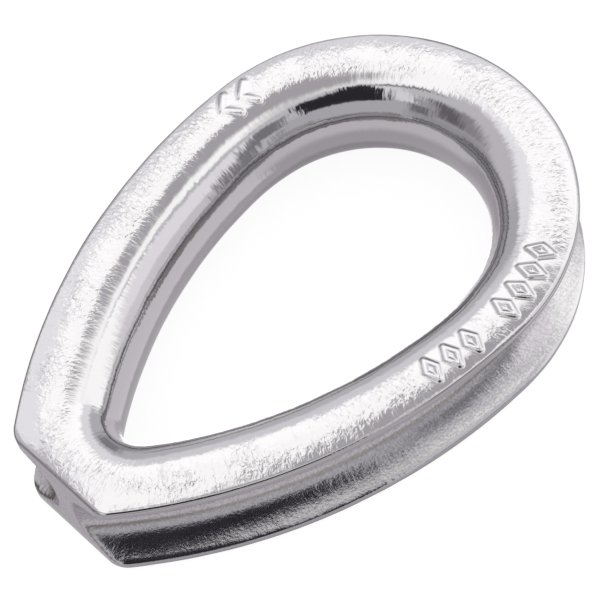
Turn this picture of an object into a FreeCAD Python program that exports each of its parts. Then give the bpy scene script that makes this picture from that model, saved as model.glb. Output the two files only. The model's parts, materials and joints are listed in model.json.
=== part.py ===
import FreeCAD, Part
import math
import os

# Solid rope thimble: a closed teardrop ring with a full-round eye and a rope groove round its outside.
# Frame: origin at the centre of the eye's crown arc, at mid thickness. +X points to the crown,
# -X to the tip, Z is the thickness direction. All lengths are in millimetres, angles in degrees.

# Rope and thickness
ROPE_DIAMETER = 12.0
ROPE_CLEARANCE = 0.5        # groove radius beyond the rope's own radius
GROOVE_CENTRE_OUT = 1.5     # how far outside the rim the centre of the groove's arc lies
FLANGE_EDGE = 1.6           # thickness of each flange where the groove breaks out at the rim
GROOVE_RADIUS = ROPE_DIAMETER / 2 + ROPE_CLEARANCE
GROOVE_MOUTH_HALF = math.sqrt(GROOVE_RADIUS ** 2 - GROOVE_CENTRE_OUT ** 2)
HALF_HEIGHT = GROOVE_MOUTH_HALF + FLANGE_EDGE

# Eye outline at mid thickness: crown arc, shoulder arc, leg arc and tip fillet, all tangent.
# Each angle is the direction of the outline's normal where one arc hands over to the next.
EYE_CROWN_RADIUS = 17.4
EYE_SHOULDER_RADIUS = 28.8
EYE_LEG_RADIUS = 70.2
EYE_TIP_RADIUS = 4.0
EYE_SHOULDER_FROM = 78.5
EYE_LEG_FROM = 94.0

# Rim outline: crown arc, leg arc and a flat facet across the tip
RIM_CROWN_RADIUS = 29.35
RIM_CROWN_SHIFT = 0.5       # the rim's crown centre lies this far towards the crown
RIM_LEG_RADIUS = 81.5
RIM_LEG_FROM = 88.3
FACET_DISTANCE = 55.35      # from the origin to the facet, along -X
FACET_CORNER_RADIUS = 4.5
RIM_EDGE_RADIUS = 0.7       # rounding of the outer top and bottom edges
GROOVE_LIP_RADIUS = 0.25    # rounding where the groove breaks out at the rim

# Raised marks on the top flange
MARK_HEIGHT = 0.3
MARK_ROOT = 1.0             # marks are looked for from this far below the flange face upwards
MARK_CENTRE_OFFSET = 8.3    # from the eye outline out to the line of mark centres
MARK_LENGTH = 4.8           # across the flange
MARK_PITCH = 3.3            # along the flange
CHEVRON_WIDTH = 2.5
CHEVRON_STROKE = 0.85
LOZENGE_WIDTH = 2.4
LOZENGE_STROKE = 0.6
SIZE_MARK_ANGLE = 84.5      # outline normal at the middle of the pair of chevrons
GRADE_MARK_ANGLE = 86.0     # outline normal, mirrored to -Y, at the middle of the row of lozenges
GRADE_ROW = (-3.5, -2.5, -1.5, -0.5, 1.5, 2.5, 3.5)   # places in the row, with one left free
SIZE_ROW = (-0.5, 0.5)

SPARE = 20.0                # how far cutting and trimming solids reach past the body
UP = FreeCAD.Vector(0, 0, 1)


def direction(angle):
    """Unit vector in the plan, at this angle from +X."""
    return FreeCAD.Vector(math.cos(math.radians(angle)), math.sin(math.radians(angle)), 0)


def eye_arcs():
    """The +Y half of the eye outline: (centre, radius, first normal angle, last normal angle)."""
    crown = FreeCAD.Vector(0, 0, 0)
    shoulder = crown + direction(EYE_SHOULDER_FROM) * (EYE_CROWN_RADIUS - EYE_SHOULDER_RADIUS)
    leg = shoulder + direction(EYE_LEG_FROM) * (EYE_SHOULDER_RADIUS - EYE_LEG_RADIUS)
    reach = math.sqrt((EYE_LEG_RADIUS - EYE_TIP_RADIUS) ** 2 - leg.y ** 2)
    tip = FreeCAD.Vector(leg.x - reach, 0, 0)
    tip_from = math.degrees(math.atan2(-leg.y, tip.x - leg.x))
    return [
        (crown, EYE_CROWN_RADIUS, 0.0, EYE_SHOULDER_FROM),
        (shoulder, EYE_SHOULDER_RADIUS, EYE_SHOULDER_FROM, EYE_LEG_FROM),
        (leg, EYE_LEG_RADIUS, EYE_LEG_FROM, tip_from),
        (tip, EYE_TIP_RADIUS, tip_from, 180.0),
    ]


def rim_arcs():
    """The rim's crown centre and leg centre on the +Y side."""
    crown = FreeCAD.Vector(RIM_CROWN_SHIFT, 0, 0)
    leg = crown + direction(RIM_LEG_FROM) * (RIM_CROWN_RADIUS - RIM_LEG_RADIUS)
    return crown, leg


def mirrored(shape):
    """The same shape on the other side of the XZ plane."""
    return shape.mirror(FreeCAD.Vector(0, 0, 0), FreeCAD.Vector(0, 1, 0))


def ring_section(growth):
    """Upright face of the ring's section: a half-round nose at the eye, then flat flange faces.

    x is the distance out from the eye outline. growth swells the section on every side.
    """
    half = HALF_HEIGHT + growth
    top = FreeCAD.Vector(HALF_HEIGHT, 0, half)
    nose = FreeCAD.Vector(-growth, 0, 0)
    bottom = FreeCAD.Vector(HALF_HEIGHT, 0, -half)
    outer_bottom = FreeCAD.Vector(SPARE, 0, -half)
    outer_top = FreeCAD.Vector(SPARE, 0, half)
    edges = [
        Part.Arc(top, nose, bottom).toShape(),
        Part.makeLine(bottom, outer_bottom),
        Part.makeLine(outer_bottom, outer_top),
        Part.makeLine(outer_top, top),
    ]
    return Part.Face(Part.Wire(edges))


def swept(face, centre, radius, first, last):
    """Revolves an upright section, whose x counts from radius, about a vertical axis at centre."""
    placed = face.copy()
    placed.translate(FreeCAD.Vector(radius, 0, 0))
    placed.rotate(FreeCAD.Vector(0, 0, 0), UP, first)
    placed.translate(centre)
    return placed.revolve(centre, UP, last - first)


def ring_stock(growth=0.0):
    """The section carried all the way round the eye, wider than the finished rim."""
    face = ring_section(growth)
    pieces = []
    for centre, radius, first, last in eye_arcs():
        piece = swept(face, centre, radius, first, last)
        pieces.append(piece)
        pieces.append(mirrored(piece))
    return pieces[0].fuse(pieces[1:]).removeSplitter()


def rim_blank():
    """Upright prism whose plan is the rim outline: crown arc, two leg arcs, facet and its corners."""
    crown, leg = rim_arcs()
    facet_x = -FACET_DISTANCE
    corner_x = facet_x + FACET_CORNER_RADIUS
    corner_reach = RIM_LEG_RADIUS - FACET_CORNER_RADIUS
    corner_y = leg.y + math.sqrt(corner_reach ** 2 - (corner_x - leg.x) ** 2)
    corner = FreeCAD.Vector(corner_x, corner_y, 0)
    corner_from = math.degrees(math.atan2(corner_y - leg.y, corner_x - leg.x))

    crown_end = crown + direction(RIM_LEG_FROM) * RIM_CROWN_RADIUS
    leg_middle = leg + direction((RIM_LEG_FROM + corner_from) / 2) * RIM_LEG_RADIUS
    leg_end = leg + direction(corner_from) * RIM_LEG_RADIUS
    corner_middle = corner + direction((corner_from + 180) / 2) * FACET_CORNER_RADIUS
    facet_end = FreeCAD.Vector(facet_x, corner_y, 0)
    crown_front = crown + direction(0) * RIM_CROWN_RADIUS

    half = [
        Part.Arc(crown_end, leg_middle, leg_end).toShape(),
        Part.Arc(leg_end, corner_middle, facet_end).toShape(),
    ]
    crown_end_mirrored = FreeCAD.Vector(crown_end.x, -crown_end.y, 0)
    facet_end_mirrored = FreeCAD.Vector(facet_end.x, -facet_end.y, 0)
    edges = [Part.Arc(crown_end_mirrored, crown_front, crown_end).toShape()]
    edges += half
    edges.append(Part.makeLine(facet_end, facet_end_mirrored))
    edges += [mirrored(edge) for edge in reversed(half)]
    outline = Part.Face(Part.Wire(Part.__sortEdges__(edges)))
    outline.translate(FreeCAD.Vector(0, 0, -SPARE))
    return outline.extrude(FreeCAD.Vector(0, 0, 2 * SPARE))


def groove_section():
    """Upright face of the rope groove: the rope's arc, a rounded lip each side, and open air outside.

    x is the distance out from the rim.
    """
    centre = FreeCAD.Vector(GROOVE_CENTRE_OUT, 0, 0)
    lip_height = math.sqrt(
        (GROOVE_RADIUS + GROOVE_LIP_RADIUS) ** 2 - (GROOVE_CENTRE_OUT + GROOVE_LIP_RADIUS) ** 2
    )
    edges = []
    lip_ends = []
    touches = []
    for side in (1, -1):
        lip = FreeCAD.Vector(-GROOVE_LIP_RADIUS, 0, side * lip_height)
        to_groove = (centre - lip).normalize()
        touch = lip + to_groove * GROOVE_LIP_RADIUS
        end = FreeCAD.Vector(0, 0, side * lip_height)
        middle = lip + (to_groove + FreeCAD.Vector(1, 0, 0)).normalize() * GROOVE_LIP_RADIUS
        edges.append(Part.Arc(touch, middle, end).toShape())
        touches.append(touch)
        lip_ends.append(end)
    floor = centre - FreeCAD.Vector(GROOVE_RADIUS, 0, 0)
    outside = [end + FreeCAD.Vector(GROOVE_RADIUS, 0, 0) for end in lip_ends]
    edges.append(Part.Arc(touches[0], floor, touches[1]).toShape())
    edges.append(Part.makeLine(lip_ends[0], outside[0]))
    edges.append(Part.makeLine(outside[0], outside[1]))
    edges.append(Part.makeLine(outside[1], lip_ends[1]))
    return Part.Face(Part.Wire(Part.__sortEdges__(edges)))


def groove_cutter():
    """The rope's path with clearance: round the crown, then on along each leg past the facet."""
    crown, leg = rim_arcs()
    face = groove_section()
    past_facet = 150.0
    leg_groove = swept(face, leg, RIM_LEG_RADIUS, RIM_LEG_FROM, past_facet)
    crown_groove = swept(face, crown, RIM_CROWN_RADIUS, -RIM_LEG_FROM, RIM_LEG_FROM)
    return [crown_groove, leg_groove, mirrored(leg_groove)]


def edges_at_height(shape, height, outside):
    """Edges lying wholly at this height and wholly further than outside from the eye outline."""
    found = []
    for edge in shape.Edges:
        box = edge.BoundBox
        level = abs(box.ZMin - height) < 1e-4 and abs(box.ZMax - height) < 1e-4
        if level and all(rim_distance(vertex.Point) < outside for vertex in edge.Vertexes):
            found.append(edge)
    return found


def rim_distance(point):
    """How far a point lies inside the nearest of the rim's crown arc, leg arcs and facet."""
    crown, leg = rim_arcs()
    flat = FreeCAD.Vector(point.x, abs(point.y), 0)
    to_facet = point.x + FACET_DISTANCE
    to_leg = RIM_LEG_RADIUS - (flat - leg).Length
    to_crown = RIM_CROWN_RADIUS - (flat - crown).Length
    side = to_crown if point.x > crown.x else to_leg
    return min(to_facet, side)


def thimble_body():
    """The ring trimmed to the rim outline, its outer edges rounded, and the rope groove cut."""
    body = ring_stock().common(rim_blank())
    near_rim = 1.0
    outer_edges = edges_at_height(body, HALF_HEIGHT, near_rim)
    outer_edges += edges_at_height(body, -HALF_HEIGHT, near_rim)
    body = body.makeFillet(RIM_EDGE_RADIUS, outer_edges)
    return body.cut(groove_cutter())


def station(middle_angle, along):
    """Place on the line of mark centres, this far along from the place with the given normal."""
    def length_to(angle):
        total = 0.0
        for _, radius, first, last in eye_arcs():
            turn = min(max(angle - first, 0.0), last - first)
            total += math.radians(turn) * (radius + MARK_CENTRE_OFFSET)
        return total

    left = length_to(middle_angle) + along
    for centre, radius, first, last in eye_arcs():
        path_radius = radius + MARK_CENTRE_OFFSET
        span = math.radians(last - first) * path_radius
        if left <= span:
            angle = first + math.degrees(left / path_radius)
            return centre + direction(angle) * path_radius, angle
        left -= span
    raise ValueError("the row of marks runs past the tip")


def chevron():
    """Flat arrow-head outline: x points across the flange, y along it."""
    half, width, stroke = MARK_LENGTH / 2, CHEVRON_WIDTH / 2, CHEVRON_STROKE
    return [[
        (-half, -width), (0, width - stroke), (half, -width),
        (half, stroke - width), (0, width), (-half, stroke - width),
    ]]


def lozenge():
    """Open diamond: an outer outline and an inner one a stroke inside it."""
    long_half, short_half = MARK_LENGTH / 2, LOZENGE_WIDTH / 2
    slant = math.hypot(long_half, short_half)
    inset = LOZENGE_STROKE * slant / (long_half * short_half)
    outer = [(-long_half, 0), (0, -short_half), (long_half, 0), (0, short_half)]
    inner = [(x * (1 - inset), y * (1 - inset)) for x, y in outer]
    return [outer, inner]


def prism(outlines, place, angle):
    """A mark's outline stood up through the flange, turned to face across it."""
    solids = []
    for outline in outlines:
        points = [FreeCAD.Vector(x, y, 0) for x, y in outline + outline[:1]]
        solids.append(Part.Face(Part.makePolygon(points)).extrude(UP * 2 * MARK_ROOT))
    solid = solids[0]
    for hole in solids[1:]:
        solid = solid.cut(hole)
    solid.rotate(FreeCAD.Vector(0, 0, 0), UP, angle)
    solid.translate(place + UP * (HALF_HEIGHT - MARK_ROOT))
    return solid


def raised_marks(outlines, middle_angle, row, mirror, skin):
    """A row of marks, each a thin skin standing MARK_HEIGHT above the flange."""
    marks = []
    for place_in_row in row:
        place, angle = station(middle_angle, place_in_row * MARK_PITCH)
        mark = prism(outlines, place, angle)
        if mirror:
            mark = mirrored(mark)
        marks.append(mark.common(skin))
    return Part.makeCompound([solid for mark in marks for solid in mark.Solids])


def main():
    os.makedirs("parts", exist_ok=True)
    body = thimble_body()
    skin = ring_stock(MARK_HEIGHT).cut(body)
    nodes = {
        "thimble_body": body,
        "size_mark": raised_marks(chevron(), SIZE_MARK_ANGLE, SIZE_ROW, False, skin),
        "grade_mark": raised_marks(lozenge(), GRADE_MARK_ANGLE, GRADE_ROW, True, skin),
    }
    for name, shape in nodes.items():
        shape.exportStep(f"parts/{name}.step")
        box = shape.optimalBoundingBox(True, False)
        print(name, "valid", shape.isValid(), "solids", len(shape.Solids), "volume", round(shape.Volume, 1),
              "size", round(box.XLength, 2), round(box.YLength, 2), round(box.ZLength, 2))


main()
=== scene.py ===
import json
import math

import bpy
import numpy as np
from mathutils import Matrix, Vector, noise


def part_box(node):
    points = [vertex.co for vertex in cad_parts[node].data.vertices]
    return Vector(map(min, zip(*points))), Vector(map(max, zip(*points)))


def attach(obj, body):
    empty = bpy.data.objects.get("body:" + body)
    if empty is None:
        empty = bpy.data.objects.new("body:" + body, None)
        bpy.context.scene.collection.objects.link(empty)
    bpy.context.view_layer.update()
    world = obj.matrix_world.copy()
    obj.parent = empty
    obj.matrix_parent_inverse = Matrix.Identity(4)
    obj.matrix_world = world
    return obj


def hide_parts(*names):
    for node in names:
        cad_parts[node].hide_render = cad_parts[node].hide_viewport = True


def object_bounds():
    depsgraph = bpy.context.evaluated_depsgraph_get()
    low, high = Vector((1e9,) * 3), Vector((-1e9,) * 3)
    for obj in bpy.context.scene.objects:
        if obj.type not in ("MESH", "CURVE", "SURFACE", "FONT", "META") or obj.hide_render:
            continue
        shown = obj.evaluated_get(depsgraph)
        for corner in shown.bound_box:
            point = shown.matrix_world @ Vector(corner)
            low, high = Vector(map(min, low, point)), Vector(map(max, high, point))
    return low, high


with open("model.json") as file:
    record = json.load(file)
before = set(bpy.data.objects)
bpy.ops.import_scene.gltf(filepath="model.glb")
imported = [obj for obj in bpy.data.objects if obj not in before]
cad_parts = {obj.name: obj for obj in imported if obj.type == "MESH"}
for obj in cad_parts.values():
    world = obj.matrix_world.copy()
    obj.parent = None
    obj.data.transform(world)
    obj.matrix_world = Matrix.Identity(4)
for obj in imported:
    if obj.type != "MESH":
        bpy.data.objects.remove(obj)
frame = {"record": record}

# A solid cast thimble for 12 mm rope: leathery flange faces, a polished full-round eye and a sandy
# rope groove, with small raised marks on the upper flange. Shapes are worked out in millimetres,
# in the frame of the CAD, and scaled to metres when a mesh is made.

CAD_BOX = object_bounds()
MM = 0.001
BODY_LOW, BODY_HIGH = (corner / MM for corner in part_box("thimble_body"))
MOUNTS = {mount["name"]: mount for mount in frame["record"]["mounts"]}

# ---------------------------------------------------------------- sizes, from the frame

HALF_HEIGHT = BODY_HIGH.z
CROWN_REACH = BODY_HIGH.x
FACET_REACH = -BODY_LOW.x
EYE_CROWN_RADIUS = MOUNTS["pin_seat"]["dims"]["r_mm"]
GROOVE_RADIUS = MOUNTS["rope_groove"]["dims"]["r_mm"]
GROOVE_FLOOR_REACH = MOUNTS["rope_groove"]["pos_m"][0] / MM
GROOVE_CENTRE_OUT = GROOVE_FLOOR_REACH + GROOVE_RADIUS - CROWN_REACH

# Eye outline: arcs in proportion to the crown arc, and the normal angles where they hand over
EYE_SHOULDER_RADIUS = 1.6552 * EYE_CROWN_RADIUS
EYE_LEG_RADIUS = 4.0345 * EYE_CROWN_RADIUS
EYE_TIP_RADIUS = 0.2299 * EYE_CROWN_RADIUS
EYE_SHOULDER_FROM = 78.5
EYE_LEG_FROM = 94.0

# Rim outline
RIM_CROWN_SHIFT = 0.5
RIM_CROWN_RADIUS = CROWN_REACH - RIM_CROWN_SHIFT
RIM_LEG_RADIUS = 2.777 * RIM_CROWN_RADIUS
RIM_LEG_FROM = 88.3
RUN_OUT_RADIUS = 0.5        # plan rounding of the groove's edge, where it breaks out at the facet
TOP_CORNERS = (4.5, 3.2)    # plan rounding where a leg meets the facet, at +Y and -Y, upper flange
BOTTOM_CORNERS = (4.5, 4.0)
EDGE_RADIUS = 0.45          # rounding of the rim's outer edges
LIP_RADIUS = 0.15           # rounding where the groove breaks out at the rim
NOSE_SQUARENESS = 2.2       # the rolled nose is a little fuller than the half circle, which would be 2
FLANGE_DROOP = 0.45         # the cast flange face falls this much from its crest to the rim
DROOP_DEPTH = 1.6           # how far down the edge the fall is taken up

# Cast shape of the groove: how steep its wall is at these shares of the mouth's half height
GROOVE_SHARES = (0.0, 0.4, 0.62, 0.83, 1.0)
GROOVE_SLOPES = (0.0, 12.0, 45.0, 59.5, 67.0)
GROOVE_STEPS = 400          # for adding up the wall's slope
RIM_SEARCH = 25.0           # the rim is nearer to the eye outline than this
RIM_HALVINGS = 36

# Raised marks
MARK_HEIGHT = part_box("grade_mark")[1].z / MM - HALF_HEIGHT
MARK_OFFSET = 8.3
MARK_LENGTH = 4.8
MARK_PITCH = 3.3
CHEVRON_WIDTH = 2.5
CHEVRON_STROKE = 0.85
LOZENGE_WIDTH = 2.4
LOZENGE_STROKE = 0.6
SIZE_MARK_ANGLE = 84.5
GRADE_MARK_ANGLE = 86.0
SIZE_ROW = (-0.5, 0.5)
GRADE_ROW = (-3.5, -2.5, -1.5, -0.5, 1.5, 2.5, 3.5)
MARK_WORN = 0.7             # height left of a mark, worn and softened
MARK_SLOPE = 1.25           # stroke widths from its centre line to where a mark meets the flange
MARK_SPREAD = 0.75          # how far a mark's own patch of mesh reaches past its length
MARK_STEP = 0.09            # mesh spacing of that patch
MARK_SKIRT = 0.03           # how far the patch's border dips under the flange
MOAT_DEPTH = 0.02           # sinking of the flange round a mark
MOAT_GAP = 0.22             # from the mark's edge to the deepest place
MOAT_WIDTH = 0.24

# Unevenness of the casting: lump size and height
SWELL_SIZE, SWELL_HEIGHT = 9.0, 0.05
DENT_SIZE, DENT_HEIGHT = 3.2, 0.022

# Relief of the steel: lump length round the ring and across the section, and height
STREAK_SIZE = (0.3, 1.1)
STREAK_HEIGHT = 0.009
RIPPLE_SIZE = (1.1, 2.2)
RIPPLE_HEIGHT = 0.03
LEATHER_SIZE = (0.55, 0.95)
LEATHER_HEIGHT = 0.115
PATCH_SIZE = (5.0, 3.5)     # of the leather's rougher and smoother areas
SAND_SIZE = (0.34, 0.34)
SAND_HEIGHT = 0.028
FLANGE_DULLNESS = 0.03      # added to the roughness of the nose
GROOVE_DULLNESS = 0.06

# How noise becomes a value: noise from, noise to, value from, value to
LEATHER_PATCHES = (0.4, 0.6, 0.45, 1.25)    # strength of the leather
NOSE_ROUGHNESS = (0.3, 0.7, 0.06, 0.1)
GROOVE_PIT_SHADE = (0.4, 0.62, 0.8, 1.02)    # painted shade in the hollows between the grains: how dark it makes them

# Where the flanges are leathery
LEATHER_FROM = 0.55         # in half heights out from the eye, and where it is full
LEATHER_FULL = 1.0
FACE_LEVEL = 0.8            # half heights above which a surface is a flange face
CALM_FROM, CALM_FULL = 1.5, 3.5     # from the nose out to the calmer band by the rim
CALM_LOSS = 0.6
MARK_CALM = (0.4, 2.0)      # from a mark's edge, over which the leather comes back
MARK_LEATHER = 0.15         # how leathery the marks and the flange close to them are
EDGE_LEATHER = 0.3

STEEL_COLOUR = (0.52, 0.515, 0.525)

# Mesh density
STATION_SPACING = 0.32      # along the ring, on the line of mark centres
TIP_SPACING = 0.13
NOSE_LEVELS = 42
TOP_LEVELS = 24
BOTTOM_LEVELS = 10
EDGE_LEVELS = 5
LIP_LEVELS = 3
GROOVE_LEVELS = 26


# ---------------------------------------------------------------- outlines

def direction(angle):
    """Unit vectors in the plan at these angles from +X."""
    angle = np.radians(angle)
    return np.stack([np.cos(angle), np.sin(angle)], -1)


def eye_arcs():
    """The +Y half of the eye outline: (centre, radius, first normal angle, last normal angle)."""
    crown = np.zeros(2)
    shoulder = crown + direction(EYE_SHOULDER_FROM) * (EYE_CROWN_RADIUS - EYE_SHOULDER_RADIUS)
    leg = shoulder + direction(EYE_LEG_FROM) * (EYE_SHOULDER_RADIUS - EYE_LEG_RADIUS)
    reach = math.sqrt((EYE_LEG_RADIUS - EYE_TIP_RADIUS) ** 2 - leg[1] ** 2)
    tip = np.array([leg[0] - reach, 0.0])
    tip_from = math.degrees(math.atan2(-leg[1], tip[0] - leg[0]))
    return [
        (crown, EYE_CROWN_RADIUS, 0.0, EYE_SHOULDER_FROM),
        (shoulder, EYE_SHOULDER_RADIUS, EYE_SHOULDER_FROM, EYE_LEG_FROM),
        (leg, EYE_LEG_RADIUS, EYE_LEG_FROM, tip_from),
        (tip, EYE_TIP_RADIUS, tip_from, 180.0),
    ]


EYE_ARCS = eye_arcs()
ARC_LENGTHS = [math.radians(last - first) * (radius + MARK_OFFSET) for _, radius, first, last in EYE_ARCS]
HALF_RING = sum(ARC_LENGTHS)


def eye_points(along):
    """Points and outward normals on the eye outline, this far round from the crown by way of +Y."""
    along = np.asarray(along, float) % (2 * HALF_RING)
    side = np.where(along > HALF_RING, -1.0, 1.0)
    left = np.where(along > HALF_RING, 2 * HALF_RING - along, along)
    points = np.zeros(left.shape + (2,))
    normals = np.zeros(left.shape + (2,))
    start = 0.0
    for (centre, radius, first, last), length in zip(EYE_ARCS, ARC_LENGTHS):
        here = (left >= start - 1e-9) & (left <= start + length + 1e-9)
        turned = direction(first + np.degrees((left - start) / (radius + MARK_OFFSET)))
        points[here] = (centre + turned * radius)[here]
        normals[here] = turned[here]
        start += length
    flip = np.stack([np.ones_like(side), side], -1)
    return points * flip, normals * flip


def along_at(angle):
    """Distance round the ring from the crown to the place whose outline normal has this angle."""
    total = 0.0
    for (_, radius, first, last), length in zip(EYE_ARCS, ARC_LENGTHS):
        total += min(max((angle - first) / (last - first), 0.0), 1.0) * length
    return total


RIM_CROWN = np.array([RIM_CROWN_SHIFT, 0.0])
RIM_LEG = RIM_CROWN + direction(RIM_LEG_FROM) * (RIM_CROWN_RADIUS - RIM_LEG_RADIUS)
TIP_COSINE = (FACET_REACH + RIM_LEG[0]) / RIM_LEG_RADIUS    # of the turn from a leg's side to the facet


def inside_rim(plan, inset, corner, facet_inset):
    """How far these plan points lie inside the rim outline moved in by inset, corners rounded."""
    folded = np.stack([plan[..., 0], np.abs(plan[..., 1])], -1)
    to_leg = RIM_LEG_RADIUS - inset - np.linalg.norm(folded - RIM_LEG, axis=-1)
    to_crown = RIM_CROWN_RADIUS - inset - np.linalg.norm(folded - RIM_CROWN, axis=-1)
    turned = np.degrees(np.arctan2(folded[..., 1], folded[..., 0] - RIM_CROWN_SHIFT))
    to_side = np.where(turned < RIM_LEG_FROM, to_crown, to_leg)
    to_facet = plan[..., 0] + FACET_REACH - facet_inset
    past_side, past_facet = corner - to_side, corner - to_facet
    squared = past_side ** 2 + past_facet ** 2 - 2 * past_side * past_facet * TIP_COSINE
    rounded = corner - np.sqrt(squared / (1 - TIP_COSINE ** 2))
    at_corner = (past_side > past_facet * TIP_COSINE) & (past_facet > past_side * TIP_COSINE)
    return np.where(at_corner, rounded, np.minimum(to_side, to_facet))


def plan_corner(points, level):
    """Plan rounding of the tip's corners: each of the four was fettled differently."""
    share = smooth(level, -HALF_HEIGHT, HALF_HEIGHT)
    left, right = (low + (high - low) * share for low, high in zip(BOTTOM_CORNERS, TOP_CORNERS))
    return np.where(points[..., 1] > 0, left, right)


def reach_to_rim(points, normals, inset, corner, facet_inset):
    """Distance from each outline point, along its normal, to the rim outline moved in by inset."""
    near = np.zeros(len(points))
    far = np.full(len(points), RIM_SEARCH)
    for _ in range(RIM_HALVINGS):
        middle = (near + far) / 2
        inside = inside_rim(points + normals * middle[:, None], inset, corner, facet_inset) > 0
        near = np.where(inside, middle, near)
        far = np.where(inside, far, middle)
    return (near + far) / 2


# ---------------------------------------------------------------- raised marks as strokes

def chevron_strokes():
    """Centre lines of a chevron's two strokes, as (across, along) ends."""
    half = MARK_LENGTH / 2 - CHEVRON_STROKE / 2
    low = -CHEVRON_WIDTH / 2 + CHEVRON_STROKE / 2
    return [((-half, low), (0, -low)), ((0, -low), (half, low))]


def lozenge_strokes():
    """Centre lines of an open lozenge's four sides, as (across, along) ends."""
    long_half = MARK_LENGTH / 2 - LOZENGE_STROKE
    short_half = LOZENGE_WIDTH / 2 - LOZENGE_STROKE / 2
    corners = [(-long_half, 0), (0, -short_half), (long_half, 0), (0, short_half)]
    return list(zip(corners, corners[1:] + corners[:1]))


def row_centres(angle, row, side):
    """Distances round the ring to the middles of the marks in a row."""
    places = [along_at(angle) + place * MARK_PITCH for place in row]
    return [place if side > 0 else 2 * HALF_RING - place for place in places]


MARK_ROWS = {
    "size_mark": (row_centres(SIZE_MARK_ANGLE, SIZE_ROW, 1), chevron_strokes(), CHEVRON_STROKE, 1),
    "grade_mark": (row_centres(GRADE_MARK_ANGLE, GRADE_ROW, -1), lozenge_strokes(), LOZENGE_STROKE, -1),
}


def stroke_distance(across, along, strokes):
    """Distance from local places on the flange to the nearest centre line of a mark's strokes."""
    best = np.full(np.shape(across), 1e3)
    for (x0, y0), (x1, y1) in strokes:
        run_x, run_y = x1 - x0, y1 - y0
        share = ((across - x0) * run_x + (along - y0) * run_y) / (run_x ** 2 + run_y ** 2)
        share = np.clip(share, 0, 1)
        best = np.minimum(best, np.hypot(across - x0 - share * run_x, along - y0 - share * run_y))
    return best


def smooth(value, low, high):
    """0 below low, 1 above high, with an eased rise between."""
    share = np.clip((value - low) / (high - low), 0, 1)
    return share * share * (3 - 2 * share)


def mark_gap(across_from_eye, along):
    """Distance from places on the flange to the edge of the nearest mark's strokes."""
    best = np.full(np.shape(along), 1e3)
    for centres, strokes, stroke, side in MARK_ROWS.values():
        for centre in centres:
            local = (along - centre) * side
            gap = stroke_distance(across_from_eye - MARK_OFFSET, local, strokes) - stroke / 2
            best = np.minimum(best, gap)
    return best


def moat(gap):
    """Shallow sinking of the flange close round every mark."""
    return -MOAT_DEPTH * np.exp(-((gap - MOAT_GAP) / MOAT_WIDTH) ** 2)


# ---------------------------------------------------------------- the cast skin

def noise_at(points, size, seed):
    """Smooth noise from -1 to 1 at these points, with lumps of about this size."""
    shift = Vector((17.3, -8.1, 5.7)) * seed
    flat = points.reshape(-1, 3) / size
    values = [noise.noise(Vector(place) + shift) for place in flat.tolist()]
    return np.array(values).reshape(points.shape[:-1])


def undulation(points):
    """The gentle unevenness of the casting, along the surface normal."""
    swell = SWELL_HEIGHT * noise_at(points, SWELL_SIZE, 1)
    return swell + DENT_HEIGHT * noise_at(points, DENT_SIZE, 2)


def grid_normals(points, closed):
    """Normals of a grid of points, rows running round the ring and columns round the section."""
    if closed:
        by_row = np.roll(points, -1, 0) - np.roll(points, 1, 0)
        by_column = np.roll(points, -1, 1) - np.roll(points, 1, 1)
    else:
        by_row = np.gradient(points, axis=0)
        by_column = np.gradient(points, axis=1)
    normals = np.cross(by_column, by_row)
    return normals / np.linalg.norm(normals, axis=-1, keepdims=True)


def body_stations():
    """Distances round the ring of the body's stations, closer together at the tip."""
    half = []
    start = 0.0
    for (_, radius, _, _), length in zip(EYE_ARCS, ARC_LENGTHS):
        spacing = TIP_SPACING if radius == EYE_TIP_RADIUS else STATION_SPACING
        count = max(4, round(length / spacing))
        half.append(start + np.arange(count) * length / count)
        start += length
    half = np.concatenate(half + [[HALF_RING]])
    return np.concatenate([half, 2 * HALF_RING - half[-2:0:-1]])


def groove_wall():
    """The groove's wall from its mouth to its floor, as insets and heights, with GROOVE_SLOPES."""
    mouth = math.sqrt(GROOVE_RADIUS ** 2 - GROOVE_CENTRE_OUT ** 2)
    height = np.linspace(mouth, 0, GROOVE_STEPS)
    slope = np.interp(height / mouth, GROOVE_SHARES, GROOVE_SLOPES)
    depth = np.concatenate([[0], np.cumsum(np.tan(np.radians(slope[1:])) * -np.diff(height))])
    depth *= (GROOVE_RADIUS - GROOVE_CENTRE_OUT) / depth[-1]
    return depth, height


def rim_profile():
    """The outer side from the upper edge to the middle of the groove: (inset, height, kind)."""
    levels = []
    for angle in np.linspace(90, 0, EDGE_LEVELS):
        turned = math.radians(angle)
        inset = EDGE_RADIUS * (1 - math.cos(turned))
        levels.append((inset, HALF_HEIGHT - EDGE_RADIUS + EDGE_RADIUS * math.sin(turned), "edge"))
    depth, height = groove_wall()
    length = np.concatenate([[0], np.cumsum(np.hypot(np.diff(depth), np.diff(height)))])
    wall_angle = math.radians(GROOVE_SLOPES[-1])
    set_back = LIP_RADIUS * math.tan(wall_angle / 2)
    for turned in np.linspace(0, wall_angle, LIP_LEVELS + 1):
        level = height[0] + set_back - LIP_RADIUS * math.sin(turned)
        levels.append((LIP_RADIUS * (1 - math.cos(turned)), level, "lip"))
    for share in np.linspace(0, 1, GROOVE_LEVELS // 2 + 1)[1:]:
        place = set_back + (length[-1] - set_back) * share
        levels.append((np.interp(place, length, depth), np.interp(place, length, height), "groove"))
    return levels


def droop(flat_share, height):
    """Fall of the flange face: nothing at its crest, FLANGE_DROOP at the rim."""
    taken = smooth(np.abs(height), HALF_HEIGHT - DROOP_DEPTH, HALF_HEIGHT)
    return -np.sign(height) * FLANGE_DROOP * flat_share ** 2 * taken


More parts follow.
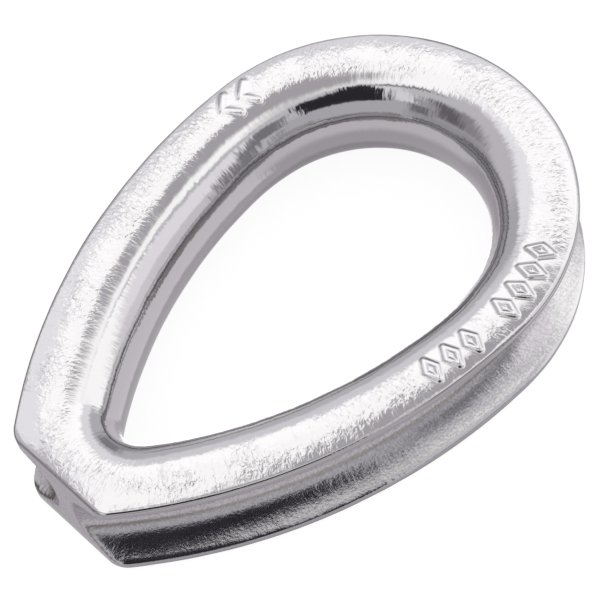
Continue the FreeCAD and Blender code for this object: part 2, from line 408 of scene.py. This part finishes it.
def body_grid():
    """All the body's points, stations by levels, with each point's place and kind of surface."""
    along = body_stations()
    points, normals = eye_points(along)
    ones = np.ones(len(along))
    rim_full = reach_to_rim(points, normals, 0.0, plan_corner(points, HALF_HEIGHT), 0.0)
    out, height, kinds = [], [], []

    def add(distance, level, kind):
        out.append(distance)
        height.append(level * ones)
        kinds.append(kind)

    for angle in np.linspace(-90, 90, NOSE_LEVELS):
        turned = math.radians(angle)
        reach = max(math.cos(turned), 0) ** (2 / NOSE_SQUARENESS)
        rise = math.copysign(abs(math.sin(turned)) ** (2 / NOSE_SQUARENESS), angle)
        add(HALF_HEIGHT * (1 - reach) * ones, HALF_HEIGHT * rise, "nose")
    profile = rim_profile()
    mirrored_profile = [(inset, -level, kind) for inset, level, kind in profile[-2::-1]]
    outside = []
    for inset, level, kind in profile + mirrored_profile:
        facet_inset = inset if kind == "edge" else 0.0
        edge_inset = 0.0 if kind == "groove" else inset
        reach = reach_to_rim(points, normals, edge_inset, plan_corner(points, level), facet_inset)
        if kind == "groove":
            reach = np.minimum(reach, reach_to_rim(points, normals, inset, RUN_OUT_RADIUS, 0.0))
        outside.append(reach)
    for share in np.linspace(0, 1, TOP_LEVELS)[1:-1]:
        add(HALF_HEIGHT + (outside[0] - HALF_HEIGHT) * share, HALF_HEIGHT, "flange")
    for (_, level, kind), distance in zip(profile + mirrored_profile, outside):
        add(distance, level, kind)
    for share in np.linspace(1, 0, BOTTOM_LEVELS)[1:-1]:
        add(HALF_HEIGHT + (outside[-1] - HALF_HEIGHT) * share, -HALF_HEIGHT, "flange")

    out, height = np.array(out).T, np.array(height).T
    flat_share = np.clip((out - HALF_HEIGHT) / (rim_full[:, None] - HALF_HEIGHT), 0, 1)
    height = height + droop(flat_share, height)
    plan = points[:, None] + normals[:, None] * out[..., None]
    grid = np.concatenate([plan, height[..., None]], -1)
    return grid, along, out, kinds


def skin(grid, lift, closed):
    """The grid moved along its own normals by the casting's unevenness and by lift."""
    normals = grid_normals(grid, closed)
    return grid + normals * (undulation(grid) + lift)[..., None]


def within_box(points, low, high):
    """Points pulled back to the CAD's own limits, so the casting never outgrows it."""
    return np.clip(points, np.array(low), np.array(high))


# ---------------------------------------------------------------- making meshes

def grid_faces(rows, columns, closed):
    """Quads of a grid of vertices, joined round both ways when closed."""
    row = np.arange(rows if closed else rows - 1)
    column = np.arange(columns if closed else columns - 1)
    row, column = np.meshgrid(row, column, indexing="ij")
    next_row, next_column = (row + 1) % rows, (column + 1) % columns
    corners = [(row, column), (row, next_column), (next_row, next_column), (next_row, column)]
    return np.stack([(r * columns + c).ravel() for r, c in corners], -1)


def make_mesh(name, vertices, faces):
    """A smooth-shaded mesh object from millimetre points."""
    mesh = bpy.data.meshes.new(name)
    mesh.from_pydata((vertices * MM).tolist(), [], faces.tolist())
    mesh.update()
    mesh.polygons.foreach_set("use_smooth", np.ones(len(mesh.polygons), bool))
    piece = bpy.data.objects.new(name, mesh)
    bpy.context.scene.collection.objects.link(piece)
    return piece


def store(piece, name, values):
    """Keeps one number for each vertex, for the material to read."""
    layer = piece.data.attributes.new(name, "FLOAT", "POINT")
    layer.data.foreach_set("value", np.asarray(values, np.float32).ravel())


def ring_place(along, section):
    """Place on the surface for grain that runs round or across the ring, with no seam."""
    around = along * math.pi / HALF_RING
    girth = HALF_RING / math.pi
    return np.stack([girth * np.cos(around), girth * np.sin(around), section], -1)


def store_place(piece, along, section):
    """Keeps each vertex's ring place, for the material's grain."""
    layer = piece.data.attributes.new("ring_place", "FLOAT_VECTOR", "POINT")
    layer.data.foreach_set("vector", ring_place(along, section).astype(np.float32).ravel())


def flange_section(out):
    """Length along the section from mid thickness, over the nose, to this distance from the eye."""
    inner = np.clip(1 - out / HALF_HEIGHT, 0, 1)
    return HALF_HEIGHT * np.arccos(inner) + np.maximum(out - HALF_HEIGHT, 0)


def leather_share(grid, out, gap, kinds):
    """How leathery the body is at each place: calmer by the rim, round the marks and on the edges."""
    top = grid[..., 2] > 0
    on_face = np.abs(grid[..., 2]) > HALF_HEIGHT * FACE_LEVEL
    share = smooth(out, HALF_HEIGHT * LEATHER_FROM, HALF_HEIGHT * LEATHER_FULL) * on_face
    share = share * (1 - CALM_LOSS * smooth(out, HALF_HEIGHT + CALM_FROM, HALF_HEIGHT + CALM_FULL))
    near_mark = MARK_LEATHER + (1 - MARK_LEATHER) * smooth(gap, *MARK_CALM)
    share = share * np.where(top, near_mark, 1.0)
    rounded_edge = np.array([kind == "edge" for kind in kinds[:-1]] + [False])
    return share * np.where(rounded_edge, EDGE_LEATHER, 1.0)


def make_body():
    """The cast ring."""
    grid, along, out, kinds = body_grid()
    gap = mark_gap(out, along[:, None] * np.ones_like(out))
    lift = np.where(grid[..., 2] > 0, moat(gap), 0)
    points = within_box(skin(grid, lift, True), BODY_LOW, BODY_HIGH)
    rows, columns = out.shape
    piece = make_mesh("cast_ring", points.reshape(-1, 3), grid_faces(rows, columns, True))
    in_groove = np.array([kind == "groove" for kind in kinds], float)
    store(piece, "groove_skin", np.broadcast_to(in_groove, out.shape))
    step = np.linalg.norm(np.diff(grid, axis=1), axis=-1)
    section = np.concatenate([np.zeros((rows, 1)), np.cumsum(step, 1)], 1) - HALF_HEIGHT * math.pi / 2
    store_place(piece, np.broadcast_to(along[:, None], out.shape), section)
    store(piece, "flange_skin", leather_share(grid, out, gap, kinds))
    return piece


def make_marks(name):
    """One row of raised marks as soft-edged relief, its skirts just under the flange."""
    centres, strokes, stroke, side = MARK_ROWS[name]
    vertices, faces, places = [], [], []
    reach = MARK_LENGTH / 2 + MARK_SPREAD
    across = np.arange(-reach, reach, MARK_STEP)
    along = np.arange(-MARK_PITCH / 2, MARK_PITCH / 2 + MARK_STEP / 2, MARK_STEP)
    for centre in centres:
        local_along, local_across = np.meshgrid(along, across, indexing="ij")
        ring_along = centre + local_along
        points, normals = eye_points(ring_along)
        out = MARK_OFFSET + local_across
        inner = np.clip(1 - out / HALF_HEIGHT, 0, 1)
        height = HALF_HEIGHT * (1 - inner ** NOSE_SQUARENESS) ** (1 / NOSE_SQUARENESS)
        flat_points, flat_normals = points.reshape(-1, 2), normals.reshape(-1, 2)
        corner = plan_corner(flat_points, HALF_HEIGHT)
        rim = reach_to_rim(flat_points, flat_normals, 0.0, corner, 0.0).reshape(out.shape)
        flat_share = np.clip((out - HALF_HEIGHT) / (rim - HALF_HEIGHT), 0, 1)
        height = height + droop(flat_share, height)
        plan = points + normals * out[..., None]
        grid = np.concatenate([plan, height[..., None]], -1)
        off_centre = stroke_distance(local_across, local_along * side, strokes)
        raised = 1 - smooth(off_centre, 0, MARK_SLOPE * stroke)
        lift = MARK_WORN * MARK_HEIGHT * raised + moat(mark_gap(out, ring_along))
        lift = lift - MARK_SKIRT * (raised <= 0)
        patch = skin(grid, lift, False)
        quads = grid_faces(*patch.shape[:2], False)
        shown = (raised > 0).ravel()[quads].any(1)
        faces.append(quads[shown] + sum(len(v) for v in vertices))
        vertices.append(patch.reshape(-1, 3))
        places.append(np.stack([ring_along, flange_section(out)], -1).reshape(-1, 2))
    vertices, faces, places = np.concatenate(vertices), np.concatenate(faces), np.concatenate(places)
    used, faces = np.unique(faces, return_inverse=True)
    faces = faces.reshape(-1, 4)
    low, high = (corner / MM for corner in CAD_BOX)
    piece = make_mesh(name + "_relief", within_box(vertices[used], low, high), faces)
    store(piece, "flange_skin", np.full(len(used), MARK_LEATHER))
    store_place(piece, places[used, 0], places[used, 1])
    return piece


# ---------------------------------------------------------------- material

def add_node(tree, kind, inputs=None, **settings):
    """A node with its inputs set or linked: a socket is linked, any other value is set."""
    made = tree.nodes.new(kind)
    for name, value in settings.items():
        setattr(made, name, value)
    for name, value in (inputs or {}).items():
        if isinstance(value, bpy.types.NodeSocket):
            tree.links.new(value, made.inputs[name])
        else:
            made.inputs[name].default_value = value
    return made


def empty_material(name):
    """A material with no nodes yet, and its node tree."""
    material = bpy.data.materials.new(name)
    material.use_nodes = True
    material.node_tree.nodes.clear()
    return material, material.node_tree


def math_node(tree, operation, first, second):
    """The result of one sum on two sockets or numbers."""
    return add_node(tree, "ShaderNodeMath", {0: first, 1: second}, operation=operation).outputs[0]


def mapped(tree, value, ranges):
    """A value moved from one range to another, held at its ends."""
    names = ("From Min", "From Max", "To Min", "To Max")
    inputs = {"Value": value, **dict(zip(names, ranges))}
    return add_node(tree, "ShaderNodeMapRange", inputs).outputs["Result"]


def steel(name, grooved):
    """Polished cast steel: streaked nose, leathery flange and, when grooved, a sandy, pock-marked groove
    with painted shade darkening the hollows between its grains.
    """
    material, tree = empty_material(name)
    place = add_node(tree, "ShaderNodeAttribute", attribute_name="ring_place").outputs["Vector"]
    flange = add_node(tree, "ShaderNodeAttribute", attribute_name="flange_skin").outputs["Fac"]

    def grain(along, across, detail, roughness=0.5, distortion=0.0):
        """Noise with lumps this long round the ring and this long across its section, in mm."""
        stretch = {0: place, 1: (1 / along, 1 / along, 1 / across)}
        vector = add_node(tree, "ShaderNodeVectorMath", stretch, operation="MULTIPLY").outputs[0]
        inputs = {"Vector": vector, "Scale": 1.0, "Detail": detail, "Roughness": roughness,
                  "Distortion": distortion}
        return add_node(tree, "ShaderNodeTexNoise", inputs).outputs["Fac"]

    def times(first, second):
        return math_node(tree, "MULTIPLY", first, second)

    def plus(first, second):
        return math_node(tree, "ADD", first, second)

    # Heights of the relief, in millimetres
    relief = times(grain(*STREAK_SIZE, 2.0), STREAK_HEIGHT)
    relief = plus(relief, times(grain(*RIPPLE_SIZE, 1.0), RIPPLE_HEIGHT))
    patches = grain(*PATCH_SIZE, 2.0)
    coarse = mapped(tree, patches, LEATHER_PATCHES)
    leather = grain(*LEATHER_SIZE, 2.0, 0.5, 0.8)
    relief = plus(relief, times(times(leather, times(coarse, LEATHER_HEIGHT)), flange))
    rough = plus(mapped(tree, patches, NOSE_ROUGHNESS), times(flange, FLANGE_DULLNESS))
    colour = (*STEEL_COLOUR, 1)
    if grooved:
        groove = add_node(tree, "ShaderNodeAttribute", attribute_name="groove_skin").outputs["Fac"]
        sand = grain(*SAND_SIZE, 3.0, 0.6)
        relief = plus(relief, times(times(sand, SAND_HEIGHT), groove))
        rough = plus(rough, times(groove, GROOVE_DULLNESS))
        # Painted shade: the groove's colour is darker where the sand relief is low
        sand_shade = mapped(tree, sand, GROOVE_PIT_SHADE)
        shaded_sand = add_node(tree, "ShaderNodeMix", {"Factor": groove, 2: 1.0, 3: sand_shade}).outputs[0]
        shaded_sand = {0: STEEL_COLOUR, "Scale": shaded_sand}
        colour = add_node(tree, "ShaderNodeVectorMath", shaded_sand, operation="SCALE").outputs[0]
    bump = add_node(tree, "ShaderNodeBump", {"Strength": 1.0, "Distance": MM, "Height": relief})
    surface = add_node(tree, "ShaderNodeBsdfPrincipled", {
        "Base Color": colour,
        "Metallic": 1.0,
        "Roughness": rough,
        "Normal": bump.outputs["Normal"],
    })
    add_node(tree, "ShaderNodeOutputMaterial", {"Surface": surface.outputs["BSDF"]})
    return material


# ---------------------------------------------------------------- camera

CAMERA_AZIMUTH = -32.39
CAMERA_ELEVATION = 57.09
CAMERA_ROLL = -13.3
CAMERA_DISTANCE = 417.9
CAMERA_AIM = (-11.51, 1.46, -3.19)
CAMERA_LENS = 183.3


def camera_axes():
    """The camera's right, up and back directions."""
    azimuth, elevation, roll = (math.radians(a) for a in (CAMERA_AZIMUTH, CAMERA_ELEVATION, CAMERA_ROLL))
    level = math.cos(elevation)
    back = Vector((math.sin(azimuth) * level, -math.cos(azimuth) * level, math.sin(elevation)))
    right = Vector((math.cos(azimuth), math.sin(azimuth), 0))
    up = back.cross(right)
    right = right * math.cos(roll) + up * math.sin(roll)
    return right, back.cross(right), back


def add_camera():
    """The camera, at its place and roll."""
    right, up, back = camera_axes()
    data = bpy.data.cameras.new("camera")
    data.lens = CAMERA_LENS
    data.clip_start = 0.01
    camera = bpy.data.objects.new("camera", data)
    place = (Vector(CAMERA_AIM) + back * CAMERA_DISTANCE) * MM
    turn = Matrix((right, up, back)).transposed()
    camera.matrix_world = Matrix.Translation(place) @ turn.to_4x4()
    bpy.context.scene.collection.objects.link(camera)
    bpy.context.scene.camera = camera


# ---------------------------------------------------------------- studio

DOME_RADIUS = 1500.0
DOME_ROWS, DOME_COLUMNS = 181, 361      # one vertex a degree
FLOOR_HALF = 4000.0
FLOOR_GREY = 0.16
FLOOR_GLOW = 0.9
ROOM_LIGHT = 0.96

# Screen greys that the steel shows
# The second and third table greys are a painted shadow of the thimble on the table
TABLE, TABLE_SHADOW_NEAR, TABLE_SHADOW_BELOW, TABLE_BEHIND = 176, 150, 130, 250
WALLS, WALLS_HIGH = 162, 180
SOFTBOX_MIDDLE, SOFTBOX_RIM, FLAG = 158, 92, 38

# Tints, added to a screen grey
LILAC = (2.0, -3.0, 3.0)
WARM = (4.0, -1.0, -4.0)
NEUTRAL = (1.0, -2.0, 4.0)
CREAM = (2.0, 0.0, 0.0)


def seen(level, tint=NEUTRAL):
    """Light that the steel shows as this 0 to 255 screen grey, with a slight tint."""
    screen = (level + np.array(tint)) / 255
    linear = np.where(screen <= 0.04045, screen / 12.92, ((screen + 0.055) / 1.055) ** 2.4)
    return linear / np.array(STEEL_COLOUR)


def band(value, low, high, soft):
    """1 between low and high, fading over soft at each side."""
    return smooth(value, low - soft, low + soft) * (1 - smooth(value, high - soft, high + soft))


# Panels of the studio: azimuths and elevations that they fill, screen grey, softness and tint. Azimuth
# 0 is the main camera's side and + its right. Later ones stand in front of earlier ones. The names are
# only labels for telling the panels apart.
ROOM = {
    "table, dim on the left": (-152, -105, -50, -22, 145, 8, LILAC),
    "table, bright on the right": (58, 122, -52, -5, 184, 6, LILAC),
    "left wall": (-136, -104, 10, 64, 180, 6, LILAC),
    "left corner window": (-160, -136, 29, 66, 224, 7, NEUTRAL),
    "right wall, low": (60, 77, 4, 24, 190, 3, LILAC),
    "right wall, middle": (76, 96, 4, 24, 198, 4, LILAC),
    "right window": (60, 100, 22, 48, 216, 4, LILAC),
    "right window frame": (92, 118, 9, 50, 244, 4, CREAM),
    "back wall, right": (112, 200, 2, 26, 170, 6, NEUTRAL),
    "back window, right, lower": (112, 200, 25, 39, 214, 6, NEUTRAL),
    "back window, right, upper": (118, 200, 40, 62, 252, 6, CREAM),
    "back wall, left": (-200, -163, 2, 20, 172, 6, NEUTRAL),
    "back window, left, lower": (-200, -160, 20, 38, 200, 6, NEUTRAL),
    "back window, left, upper": (-200, -160, 38, 76, 252, 6, CREAM),
    "door behind": (148, 168, -3, 18, 118, 5, NEUTRAL),
    "shelf on the left": (-112, -50, 0, 16, 140, 8, NEUTRAL),
    "cupboard": (-106, -68, 18, 50, 130, 8, LILAC),
    "open cupboard": (-88, -71, 21, 52, 92, 7, LILAC),
    "stand": (-64, -52, 15, 34, 102, 5, NEUTRAL),
    "stand, upper": (-66, -55, 34, 46, 138, 4, NEUTRAL),
    "gap beside the flag": (-58, -43, 36, 72, 206, 3, NEUTRAL),
    "chair, back": (14, 43, 2, 12, 138, 4, NEUTRAL),
    "chair, side": (36, 43, 4, 22, 138, 3, NEUTRAL),
    "wall behind the chair": (43, 54, 4, 26, 176, 3, NEUTRAL),
    "stand on the right": (36, 58, 27, 48, 112, 4, NEUTRAL),
    "post on the right": (50, 61, 2, 30, 114, 3, NEUTRAL),
}


def table_edge_and_foot_shadow(azimuth, elevation):
    """The dark far edges of the table, and below them a painted shadow round the thimble's foot: how much
    of them is seen, and their level, by direction.
    """
    around = [-180, -150, -92, -88, -50, -40, -12, 0, 40, 50, 80, 90, 104, 115, 180]
    low = np.interp(azimuth, around,
                    [-10, -18, -18, -10, -10, -15, -15, -11, -11, -19, -19, -10, -9, -9, -9])
    high = np.interp(azimuth, around,
                     [4, 7, 6, 0, 0, 6, 6, 7, 7, -4, -4, 4, 5, 0, 0])
    level = np.interp(azimuth, around,
                      [112, 84, 88, 96, 98, 118, 122, 144, 146, 114, 108, 114, 120, 130, 130])
    return band(elevation, low, high, 2), level


def softbox(azimuth, elevation):
    """The overhead softbox: its rim's elevation, how much of it and of its dim middle is seen, its grey."""
    rim = np.interp(azimuth, [-180, -150, -135, -65, -30, 0, 15, 30, 60, 90, 105, 112, 170, 180],
                    [56, 60, 64, 68, 70, 69, 65, 60, 54, 53, 50, 48, 54, 56])
    middle = np.interp(azimuth, [-180, -140, -40, 0, 40, 60, 80, 100, 112, 150, 162, 172, 180],
                       [80, 79, 79, 76, 72, 70, 68, 64, 57, 61, 67, 76, 80])
    level = np.interp(azimuth, [-90, -70, -40, -20, 0, 25, 40, 66, 75, 110, 125],
                      [246, 236, 224, 206, 214, 196, 190, 220, 244, 240, 246])
    return rim, smooth(elevation, rim, rim + 2.5), smooth(elevation, middle - 4, middle + 7), level


def camera_flag(azimuth, elevation):
    """A black flag on the main camera's side: how much of it is seen, by direction."""
    top = np.interp(azimuth, [-44, -38, -30, -10, -3, 14, 32], [60, 63, 70, 70, 64, 59, 59])
    left = np.interp(elevation, [36, 50, 58], [-37, -39, -43])
    right = np.interp(elevation, [34, 46, 50, 62], [21, 25, 31, 33])
    across = smooth(azimuth, left - 1, left + 1) * (1 - smooth(azimuth, right - 1, right + 1))
    return across * smooth(elevation, 32, 35.5) * (1 - smooth(elevation, top - 1, top + 1))


def studio_light(azimuth, elevation):
    """What the steel sees in each direction: azimuth 0 is the camera's side, + its right."""
    light = np.zeros(azimuth.shape + (3,))
    from_back = 180 - np.abs(azimuth)

    def paint(amount, colour):
        light[...] = light + (colour - light) * np.clip(amount, 0, 1)[..., None]

    # The light table, with the thimble's shadow painted on it below the object, and bright behind it
    paint(np.ones_like(azimuth), seen(TABLE, LILAC))
    paint(1 - smooth(elevation, -48, -30), seen(TABLE_SHADOW_NEAR, LILAC))
    paint(1 - smooth(elevation, -74, -62), seen(TABLE_SHADOW_BELOW, LILAC))
    paint(band(from_back, -1, 13, 4) * band(elevation, -54, -18, 4), seen(TABLE_BEHIND))
    # Walls, lighter towards the ceiling
    paint(smooth(elevation, -2, 4), seen(WALLS))
    paint(smooth(elevation, 30, 40), seen(WALLS_HIGH))
    for left, right, low, high, level, soft, tint in ROOM.values():
        paint(band(azimuth, left, right, soft) * band(elevation, low, high, soft / 2), seen(level, tint))
    # The table's dark far edges, with a painted shadow round the thimble's foot below them
    edge, edge_and_shadow_level = table_edge_and_foot_shadow(azimuth, elevation)
    paint(edge, seen(edge_and_shadow_level[..., None], WARM))
    rim, bright, dim, level = softbox(azimuth, elevation)
    paint(bright, seen(level[..., None], CREAM))
    paint(dim, seen(SOFTBOX_MIDDLE, LILAC))
    # Dark rim of the softbox, on the left
    rim_seen = band(azimuth, -92, -42, 6) * band(elevation, rim - 2.8, rim + 0.5, 0.8)
    paint(0.9 * rim_seen, seen(SOFTBOX_RIM, LILAC))
    paint(camera_flag(azimuth, elevation), seen(FLAG))
    return light


def add_studio_dome():
    """A shell round everything that only glossy rays see, painted by direction."""
    elevation = np.linspace(-90, 90, DOME_ROWS)[:, None] * np.ones(DOME_COLUMNS)
    azimuth = np.ones(DOME_ROWS)[:, None] * np.linspace(-180, 180, DOME_COLUMNS)
    _, _, back = camera_axes()
    facing = math.atan2(back.y, back.x)
    turned = np.radians(azimuth) + facing
    level = np.cos(np.radians(elevation))
    points = np.stack([np.cos(turned) * level, np.sin(turned) * level, np.sin(np.radians(elevation))], -1)
    faces = grid_faces(DOME_ROWS, DOME_COLUMNS, False)
    dome = make_mesh("studio_dome", points.reshape(-1, 3) * DOME_RADIUS, faces)
    light = studio_light(azimuth, elevation)
    layer = dome.data.attributes.new("light", "FLOAT_VECTOR", "POINT")
    layer.data.foreach_set("vector", light.astype(np.float32).ravel())
    material, tree = empty_material("studio_dome")
    colour = add_node(tree, "ShaderNodeAttribute", attribute_name="light").outputs["Vector"]
    glow = add_node(tree, "ShaderNodeEmission", {"Color": colour, "Strength": 1.0})
    add_node(tree, "ShaderNodeOutputMaterial", {"Surface": glow.outputs[0]})
    dome.data.materials.append(material)
    dome.visible_camera = False
    dome.visible_diffuse = False
    dome.visible_shadow = False


def add_floor():
    """A pale light table that the thimble lies on."""
    turns = ((-1, -1), (1, -1), (1, 1), (-1, 1))
    corners = np.array([(x * FLOOR_HALF, y * FLOOR_HALF, BODY_LOW.z) for x, y in turns])
    floor = make_mesh("light_table", corners, np.array([(0, 1, 2, 3)]))
    material, tree = empty_material("light_table")
    matt = add_node(tree, "ShaderNodeBsdfDiffuse", {"Color": (FLOOR_GREY, FLOOR_GREY, FLOOR_GREY, 1)})
    glow = add_node(tree, "ShaderNodeEmission", {"Color": (1, 1, 1, 1), "Strength": FLOOR_GLOW})
    both = add_node(tree, "ShaderNodeAddShader", {0: matt.outputs[0], 1: glow.outputs[0]})
    add_node(tree, "ShaderNodeOutputMaterial", {"Surface": both.outputs[0]})
    floor.data.materials.append(material)
    floor.visible_glossy = False


def add_room_light():
    """Even white light from all round."""
    world = bpy.data.worlds.new("room")
    world.use_nodes = True
    background = world.node_tree.nodes["Background"]
    background.inputs["Color"].default_value = (1, 1, 1, 1)
    background.inputs["Strength"].default_value = ROOM_LIGHT
    bpy.context.scene.world = world


# ---------------------------------------------------------------- the scene

def main():
    add_camera()
    body = make_body()
    body.data.materials.append(steel("cast_steel", True))
    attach(body, "root")
    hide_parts("thimble_body")
    for name in MARK_ROWS:
        marks = make_marks(name)
        marks.data.materials.append(steel(name + "_steel", False))
        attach(marks, "root")
        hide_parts(name)
    add_studio_dome()
    add_floor()
    add_room_light()
    bpy.context.scene.view_settings.view_transform = "Standard"


main()
